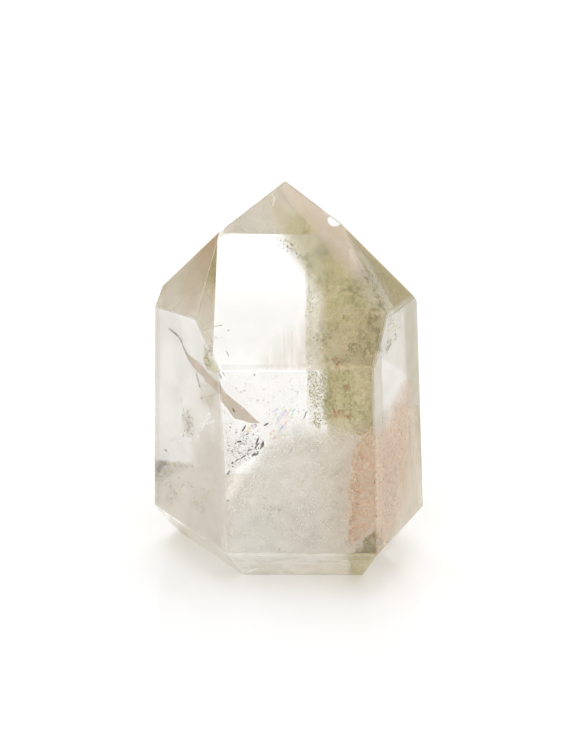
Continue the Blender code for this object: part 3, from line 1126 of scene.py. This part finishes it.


# bright frost: feathers and bruises that catch the light; the sparks are white grains as painted glints, and
# the white strokes along the foot's edges are painted edge highlights

# the small feathers under the crack on the left face
feather = dict(step=0.6, crumple=0.00002)
frost = dict(
    film=dict(
        tones=((0.30, (0.90, 0.90, 0.88)), (0.65, (0.99, 0.99, 0.98))),
        grain=(1800.0, 2.0), patches=(1100.0, 3.0), thinning=(0.35, 0.65, 1.0, 0.7), rough=0.35, metal=0.9,
    ),
    veils=(
        ("tipFront", 0.0003, 1.6, 1.0, dict(step=0.8, crumple=0.0001), [
            (326.5, 218), (331, 215.5), (336, 216.5), (342, 223), (338.5, 227), (331, 227.5),
            (327.5, 223)]),
        ("front", 0.0056, 12.0, 0.24, dict(step=2.0), [
            (217, 404), (230, 414), (246, 426), (264, 438), (266, 456), (256, 472), (244, 486), (235, 500),
            (228, 518), (219, 518), (217, 450)]),
        ("left", 0.00025, 0.5, 1.0, feather, [
            (208.0, 411.5), (211.2, 411.8), (210.4, 417), (206, 424), (202.5, 429), (201, 427.5),
            (204.5, 420)]),
        ("left", 0.00025, 0.5, 1.0, feather, [
            (204.5, 425.5), (208, 421.5), (213, 418.8), (215.5, 420), (214, 423), (209.5, 424)]),
        ("left", 0.00025, 0.5, 1.0, feather, [
            (196.5, 433.5), (200.4, 433.2), (199.4, 438.4), (196.4, 440.5)]),
        ("left", 0.00025, 0.5, 1.0, feather, [(188, 437), (192, 436), (191, 442), (188, 443)]),
    ),
    strokes=(
        ("left", 0.00024, 1.3, [(201, 431), (204, 425), (209, 416)]),
        ("front", 0.0050, 1.3, [(286.5, 457), (289, 453), (292.5, 448.5)]),
        ("front", 0.0006, 1.2, [(215.5, 372), (219, 374), (220.5, 378)]),
        ("front", 0.0010, 0.8, [(222, 373), (224.5, 378), (224, 382)]),
        ("tipFront", 0.0006, 0.9, [(272.2, 194.5), (274.6, 198), (273.6, 203), (272.4, 207.5)]),
        # painted edge highlights: white lines along the foot's edges
        ("footFront", 0.0002, 1.1, [(227, 562.5), (233, 567), (244, 574)]),
        ("footFront", 0.0002, 0.9, [(244, 573.6), (250, 571), (257, 568.5)]),
        ("footFront", 0.0003, 1.0, [(290, 559.6), (310, 559.3), (329, 559.3)]),
    ),
    # painted glints: white grains scattered close under the faces
    sparks=(
        ("front", 560, (0.0004, 0.0020), (0.06, 0.11), 5.0, [
            (226, 440), (262, 430), (345, 430), (350, 556), (228, 556), (226, 500)]),
        ("front", 160, (0.0004, 0.0024), (0.06, 0.11), 5.0, [
            (292, 500), (332, 498), (330, 545), (296, 545)]),
        ("front", 90, (0.0003, 0.0010), (0.06, 0.11), 5.0, [
            (262, 428), (312, 428), (300, 450), (270, 462)]),
        ("front", 160, (0.0006, 0.004), (0.06, 0.11), 5.0, [
            (222, 372), (309, 372), (309, 428), (262, 440), (236, 470), (224, 500)]),
        ("front", 170, (-0.004, -0.0006), (0.06, 0.11), 5.0, [
            (306, 369), (333, 369), (332, 430), (309, 430)]),
        ("left", 110, (0.0006, 0.004), (0.06, 0.11), 5.0, [(158, 380), (218, 390), (224, 545), (158, 500)]),
        ("right", 70, (0.0010, 0.004), (0.06, 0.11), 5.0, [
            (376, 350), (392, 316), (412, 310), (414, 500), (380, 545)]),
        ("tipFront", 60, (-0.004, -0.0006), (0.06, 0.11), 5.0, [
            (306, 264), (328, 262), (328, 366), (308, 366)]),
        ("tipRight", 70, (0.0004, 0.0012), (0.06, 0.11), 5.0, [
            (361, 262), (373, 276), (388, 305), (381, 306), (366, 280)]),
        ("footFront", 90, (0.0006, 0.003), (0.06, 0.11), 5.0, [
            (232, 560), (375, 560), (360, 573), (246, 573)]),
    ),
    sparkRough=0.3,
    sparkGloss=0.7,
    sparkFlatness=0.6,
)

makeSheetPiece("frost_veils_and_painted_highlights", filmMaterial("bright frost and painted highlights", **frost["film"]), frost["veils"], frost["strokes"])
# white grains whose brightness stands in for glints: painted glints
sparkFinish = grainMaterial("painted glint sparks", frost["film"]["tones"], frost["sparkRough"], frost["sparkGloss"])
makeGrainPiece("painted_glint_sparks", sparkFinish, frost["sparks"], seed=500, flatness=frost["sparkFlatness"])


# dark crumbs and hairlines: open pits and flakes along the crack, and stray black specks
crumbs = dict(
    tones=((0.30, (0.045, 0.038, 0.025)), (0.50, (0.13, 0.11, 0.07)), (0.72, (0.26, 0.22, 0.15))),
    strokes=(
        ("left", 0.0003, 0.8, [(171, 330.2), (174, 332.4), (178, 336.2)]),
        ("left", 0.0003, 0.6, [(196, 373), (198, 380), (200.5, 390)]),
        ("left", 0.0003, 0.7, [(196.5, 370), (199, 373.5)]),
        ("front", 0.0008, 0.8, [(216.5, 371), (220, 373.6), (221.8, 379)]),
        ("front", 0.0008, 0.6, [(218.6, 373.6), (220.4, 377), (219.6, 379.5)]),
        ("front", 0.0010, 0.6, [(222.6, 371.4), (224.6, 376)]),
        ("front", 0.0010, 1.4, [(232.6, 408), (233.6, 410.6), (236, 413.2)]),
        ("front", 0.0045, 1.6, [(241.8, 431.6), (244, 428.6), (245.6, 425.4)]),
        ("front", 0.0045, 1.8, [(263.8, 425.6), (266, 424.4), (268.6, 423.0)]),
        ("front", 0.0040, 1.7, [(237.0, 442.2), (239, 441.8), (241.2, 441.0)]),
        ("front", 0.0045, 1.6, [(255.6, 444.6), (257.4, 441), (258.6, 437.6)]),
        ("front", 0.0045, 1.8, [(254.8, 448.6), (256.8, 445.4), (259.4, 442.8)]),
        ("front", 0.0045, 2.2, [(262.4, 447.6), (263.2, 444.4), (263.0, 441.0)]),
        ("front", 0.0045, 1.3, [(260.0, 449.8), (261.2, 447), (262.2, 444)]),
        ("front", 0.0045, 2.1, [(251.4, 456.4), (253.4, 454.8), (255.6, 453.2)]),
        ("front", 0.0045, 2.0, [(255.0, 455.8), (257.2, 453.6), (259.2, 451.6)]),
        ("front", 0.0040, 1.0, [(247, 451.4), (250, 450), (253, 449.4)]),
        ("front", 0.0040, 1.2, [(240.6, 458.6), (244, 456.2), (246, 455.2)]),
        ("front", 0.0035, 2.0, [(231.6, 464.0), (233.0, 462.4), (234.4, 461.8)]),
        ("front", 0.0035, 1.0, [(235, 461.4), (238, 459.8), (240.6, 458.4)]),
        ("front", 0.0035, 1.5, [(227.2, 474.4), (228.6, 472.0), (229.8, 470.4)]),
        ("front", 0.0030, 0.8, [(303.4, 419.4), (305.4, 414.6), (307.4, 410.2)]),
        ("front", 0.0030, 1.2, [(304.8, 416.6), (306, 413.6)]),
        ("front", 0.0030, 1.2, [(292.8, 447.6), (290.4, 451), (288.4, 454)]),
        ("front", 0.0035, 1.0, [(282.6, 468.6), (284.4, 466.4), (286, 465)]),
        ("front", 0.0035, 0.7, [(264.6, 480.4), (266.4, 477), (268.4, 474)]),
        ("front", 0.0030, 0.9, [(329, 477.6), (332.6, 475.4), (336, 473.8)]),
        ("front", 0.0030, 0.8, [(336.4, 473.6), (340, 469.6), (344, 466)]),
        ("front", 0.0025, 0.6, [(271, 509.4), (277, 509.3), (283.4, 509.8)]),
        ("tipFront", 0.0030, 0.7, [(225.6, 351), (227.6, 353), (228.8, 356.6)]),
        ("right", 0.0005, 1.2, [(388.6, 478.6), (390, 482.8)]),
    ),
    dots=(                      # face, depth, radius in pixels, places
        ("tipFront", 0.0004, 0.66, [
            (211, 340), (213, 341.6), (214.4, 338.6), (216, 337), (217.2, 338.4), (210, 347),
            (211.4, 348.2), (209.6, 350.6), (221, 337.6), (226.8, 348), (278.6, 244.8), (285.6, 241),
            (297, 253.6), (310, 292), (275.6, 189.2), (240, 218.4)]),
        ("front", 0.0030, 1.0, [(254.3, 374.8), (250, 522.6), (263, 484.6), (298.4, 479.4), (228, 500.4)]),
        ("front", 0.0030, 0.65, [
            (276, 376), (291, 378.6), (264, 389), (312.4, 366.6), (280, 391), (246, 384), (236, 388),
            (268, 402), (298, 392), (258, 400), (274, 397)]),
        ("left", 0.0003, 1.3, [(165.0, 449.8), (166.4, 450.6)]),
        ("left", 0.0003, 0.9, [
            (171, 440), (201.4, 398), (186.6, 424.5), (190, 427), (188, 431), (191, 433.6)]),
        ("right", 0.0005, 0.9, [(374.6, 484.6), (386.4, 501), (376, 483), (402, 450)]),
    ),
    dotSides=6,
    dotFlatness=0.7,
    trails=(
        ("front", 150, (0.0005, 0.0016), (0.08, 0.18), 5.0, [
            (226, 442), (240, 430), (262, 433), (268, 446), (256, 460), (238, 466), (226, 482)]),
        ("front", 150, (0.001, 0.004), (0.06, 0.14), 5.0, [
            (221, 402), (240, 424), (262, 430), (268, 446), (262, 460), (240, 468), (226, 500),
            (222, 480)]),
        ("front", 130, (0.0005, 0.002), (0.05, 0.09), 5.0, [
            (221, 371), (309, 371), (309, 430), (262, 424), (240, 402)]),
        ("front", 70, (0.002, 0.008), (0.05, 0.13), 5.0, [
            (262, 408), (310, 404), (312, 430), (276, 446), (262, 440)]),
        ("front", 480, (0.0006, 0.0022), (0.05, 0.09), 5.0, [
            (224, 445), (350, 430), (348, 556), (228, 556)]),
        ("tipFront", 16, (0.0003, 0.0005), (0.07, 0.12), 5.0, [
            (279, 246), (288, 244), (296, 249), (292, 253), (282, 252)]),
        ("tipFront", 24, (0.0004, 0.0008), (0.05, 0.10), 5.0, [
            (290, 250), (304, 254), (312, 262), (304, 262)]),
        ("tipFront", 90, (0.0003, 0.0006), (0.05, 0.10), 5.0, [
            (276, 236), (296, 238), (306, 256), (328, 268), (326, 286), (300, 262), (282, 254)]),
        ("tipFront", 60, (-0.004, -0.001), (0.04, 0.10), 5.0, [
            (303, 290), (311, 290), (312, 350), (304, 350)]),
        ("left", 110, (0.00022, 0.00027), (0.07, 0.10), 5.0, [
            (156, 380), (219, 384), (225, 545), (156, 500)]),
        ("left", 18, (0.00028, 0.00033), (0.11, 0.17), 5.0, [
            (184, 418), (190, 412), (193, 424), (191, 436), (184, 434)]),
        ("left", 60, (0.00028, 0.00033), (0.10, 0.16), 5.0, [
            (155, 462), (172, 466), (205, 488), (200, 512), (168, 496), (155, 478)]),
        ("left", 90, (0.00028, 0.00033), (0.11, 0.18), 5.0, [
            (150, 458), (164, 458), (172, 464), (160, 472), (158, 482), (150, 484)]),
    ),
)


def makeCrumbs():
    shape = newSheets()
    for stroke in crumbs["strokes"]:
        addStroke(shape, *stroke)
    pixel = 1.0 / cameraSetup["pixelsPerMetre"]
    for count, (face, depth, radius, places) in enumerate(crumbs["dots"]):
        spots = [(spotInside(px, py, face, depth), radius * pixel) for px, py in places]
        addGrains(shape, spots, 700 + count, crumbs["dotSides"], crumbs["dotFlatness"])
    addPatches(shape, crumbs["trails"], seed=800)
    trimToCrystal(shape)
    finishPiece(shape, "dark_crumbs", grainMaterial("dark crumbs", crumbs["tones"]))


makeCrumbs()


# rainbow flakes: the air film at the crack's end, thin enough to split the light; its rainbow colours are
# painted glints, set into the flakes' colour
rainbow = dict(
    paintedHues=((0.02, (0.80, 0.62, 0.95)), (0.18, (0.30, 0.38, 0.98)), (0.34, (0.45, 0.85, 0.97)),
          (0.50, (0.52, 0.86, 0.50)), (0.66, (0.98, 0.90, 0.42)), (0.82, (0.98, 0.60, 0.32)),
          (0.98, (0.96, 0.55, 0.70))),
    shimmer=(1500.0, 2.0),
    shimmerSpread=(0.3, 0.7, -0.08, 0.08),      # how far the noise moves a hue
    patches=(1400.0, 3.0),
    thinning=(0.3, 0.65, 1.0, 0.55),
    rough=0.3,
    gloss=0.7,
    depth=0.0026,
    strokes=(                   # tint, strength, width in pixels, path
        (0.66, 0.85, 3.2, [(248.4, 430.6), (250.4, 427.4), (253, 424)]),
        (0.82, 0.55, 3.0, [(246, 433.4), (248.4, 430.4), (250, 428)]),
        (0.04, 0.70, 3.6, [(252.6, 429.0), (254.6, 426.4), (257.4, 424)]),
        (0.18, 1.00, 2.4, [(281.0, 428.8), (282.4, 427), (283.6, 425.2)]),
        (0.82, 0.80, 2.0, [(283.6, 425.4), (285.2, 423), (287, 420.6)]),
        (0.20, 0.60, 1.4, [(278.4, 433.4), (279.6, 431), (281, 429)]),
        (0.66, 0.80, 1.8, [(275.8, 437.4), (277, 435.6), (278, 434.2)]),
        (0.98, 0.85, 2.0, [(273.0, 439.6), (274.4, 437.8), (275.6, 436.6)]),
        (0.82, 0.45, 3.0, [(268.6, 436), (271.6, 433), (274.4, 430)]),
        (0.50, 0.65, 2.2, [(281.8, 410), (283.4, 408), (285, 406.4)]),
        (0.66, 0.85, 1.8, [(289.0, 411.6), (290.4, 409.8), (292, 408.4)]),
        (0.34, 0.80, 2.2, [(292.2, 412.6), (293.6, 410.6), (295.4, 408.6)]),
        (0.50, 0.65, 2.0, [(290.0, 419), (291.2, 417), (292.4, 415)]),
        (0.30, 0.55, 1.6, [(291.4, 415.2), (292.6, 413.2)]),
        (0.04, 0.35, 4.5, [(276, 424), (281, 416), (287, 409)]),
        (0.98, 0.40, 3.0, [(284, 419), (287, 414), (289, 411)]),
        (0.04, 0.30, 3.0, [(272, 413), (276, 410), (279, 408)]),
    ),
)


def rainbowGlintFilm():
    material, tree, shader = newMaterial("rainbow flakes painted glints", rainbow["rough"], rainbow["gloss"])
    shimmer = addRange(tree, addNoise(tree, *rainbow["shimmer"]), *rainbow["shimmerSpread"])
    tone = addRamp(tree, addMath(tree, "ADD", sheetValue(tree, "tint"), shimmer), rainbow["paintedHues"])
    tree.links.new(tone, shader.inputs["Base Color"])
    addHaze(tree, addNoise(tree, *rainbow["patches"]), rainbow["thinning"])
    return material


makeSheetPiece("rainbow_flakes", rainbowGlintFilm(), strokes=[
    ("front", rainbow["depth"], width, path, strength, tint)
    for tint, strength, width, path in rainbow["strokes"]
])


# rust stains: thin brown threads in the clear part
rust = dict(
    film=dict(
        tones=((0.30, (0.16, 0.11, 0.05)), (0.60, (0.38, 0.27, 0.15))),
        grain=(1500.0, 2.0), patches=(2200.0, 2.0), thinning=(0.35, 0.6, 1.0, 0.5), rough=0.8,
    ),
    strokes=(                   # each with its strength at the end
        ("tipFront", 0.0016, 1.5, [(213.4, 326.6), (217, 326.2), (222.6, 325.0)], 0.60),
        ("tipFront", 0.0016, 2.2, [(227, 330.6), (229.6, 329.8)], 0.45),
        ("front", 0.0016, 3.0, [(239, 393.6), (242, 391.6), (245.6, 390.4)], 0.30),
        ("left", 0.0003, 1.5, [(168.4, 328.2), (172, 331), (177, 335), (180.4, 339.5), (183, 343.6)], 0.98),
        ("left", 0.0003, 1.2, [(182, 343), (183.4, 347), (186.4, 354), (190.4, 362), (196, 370)], 0.95),
    ),
)

makeSheetPiece("rust_threads", filmMaterial("rust stain", **rust["film"]), strokes=rust["strokes"])


# studio: a white glossy table, a warm grey room and a large soft light above and behind
studio = dict(
    tableColour=(0.93, 0.93, 0.93, 1.0),
    tableRough=0.12,
    tableSize=3.0,
    tableGap=0.0001,            # the crystal's base stays this far above it
    roomColour=(0.90, 0.84, 0.745),
    ceilingColour=(1.05, 1.07, 1.09),
    ceilingSpread=(0.05, 0.9),
    fillColour=(1.54, 1.56, 1.59),      # a wide soft fill behind the camera
    fillSpread=(0.15, 0.75),
    lampPlace=(0.06, 0.30, 0.75),
    lampAim=(0.0, 0.10, 0.0),
    lampSize=0.6,
    lampPower=0.7,
)


def makeTable():
    shape = bmesh.new()
    bmesh.ops.create_grid(shape, x_segments=4, y_segments=4, size=studio["tableSize"] / 2)
    bmesh.ops.translate(shape, verts=shape.verts, vec=(0.0, 0.0, -studio["tableGap"]))
    material, tree, shader = newMaterial("white table", studio["tableRough"])
    shader.inputs["Base Color"].default_value = studio["tableColour"]
    table = objectFrom(shape, "table", material)


def makeWorld():
    world = bpy.data.worlds.new("soft white studio")
    world.use_nodes = True
    scene.world = world
    tree = world.node_tree
    coords = addNode(tree, "ShaderNodeTexCoord")
    parts = addNode(tree, "ShaderNodeSeparateXYZ")
    tree.links.new(coords.outputs["Generated"], parts.inputs["Vector"])
    height = addRange(tree, parts.outputs["Z"], *studio["ceilingSpread"])
    facing = addRange(tree, addMath(tree, "MULTIPLY", parts.outputs["Y"], -1.0), *studio["fillSpread"])
    shade = addMix(tree, height, studio["roomColour"], studio["ceilingColour"])
    light = addMix(tree, facing, shade, studio["fillColour"])
    tree.links.new(light, tree.nodes["Background"].inputs["Color"])


def makeLamp():
    data = bpy.data.lights.new("soft light", "AREA")
    data.shape = "DISK"
    data.size = studio["lampSize"]
    data.energy = studio["lampPower"]
    lamp = bpy.data.objects.new("soft light", data)
    lamp.location = studio["lampPlace"]
    aim = Vector(studio["lampAim"]) - lamp.location
    lamp.rotation_euler = aim.to_track_quat("-Z", "Y").to_euler()
    scene.collection.objects.link(lamp)


makeTable()
makeWorld()
makeLamp()
print("studio made")

scene.view_settings.view_transform = "Standard"
scene.view_settings.look = "None"
cycles = scene.cycles
cycles.max_bounces = 48
cycles.diffuse_bounces = 12         # light scatters many times inside the cloud
cycles.glossy_bounces = 24
cycles.transmission_bounces = 32
cycles.transparent_max_bounces = 64
cycles.caustics_reflective = True
cycles.caustics_refractive = True
cycles.blur_glossy = 0.0
cycles.sample_clamp_indirect = 8.0
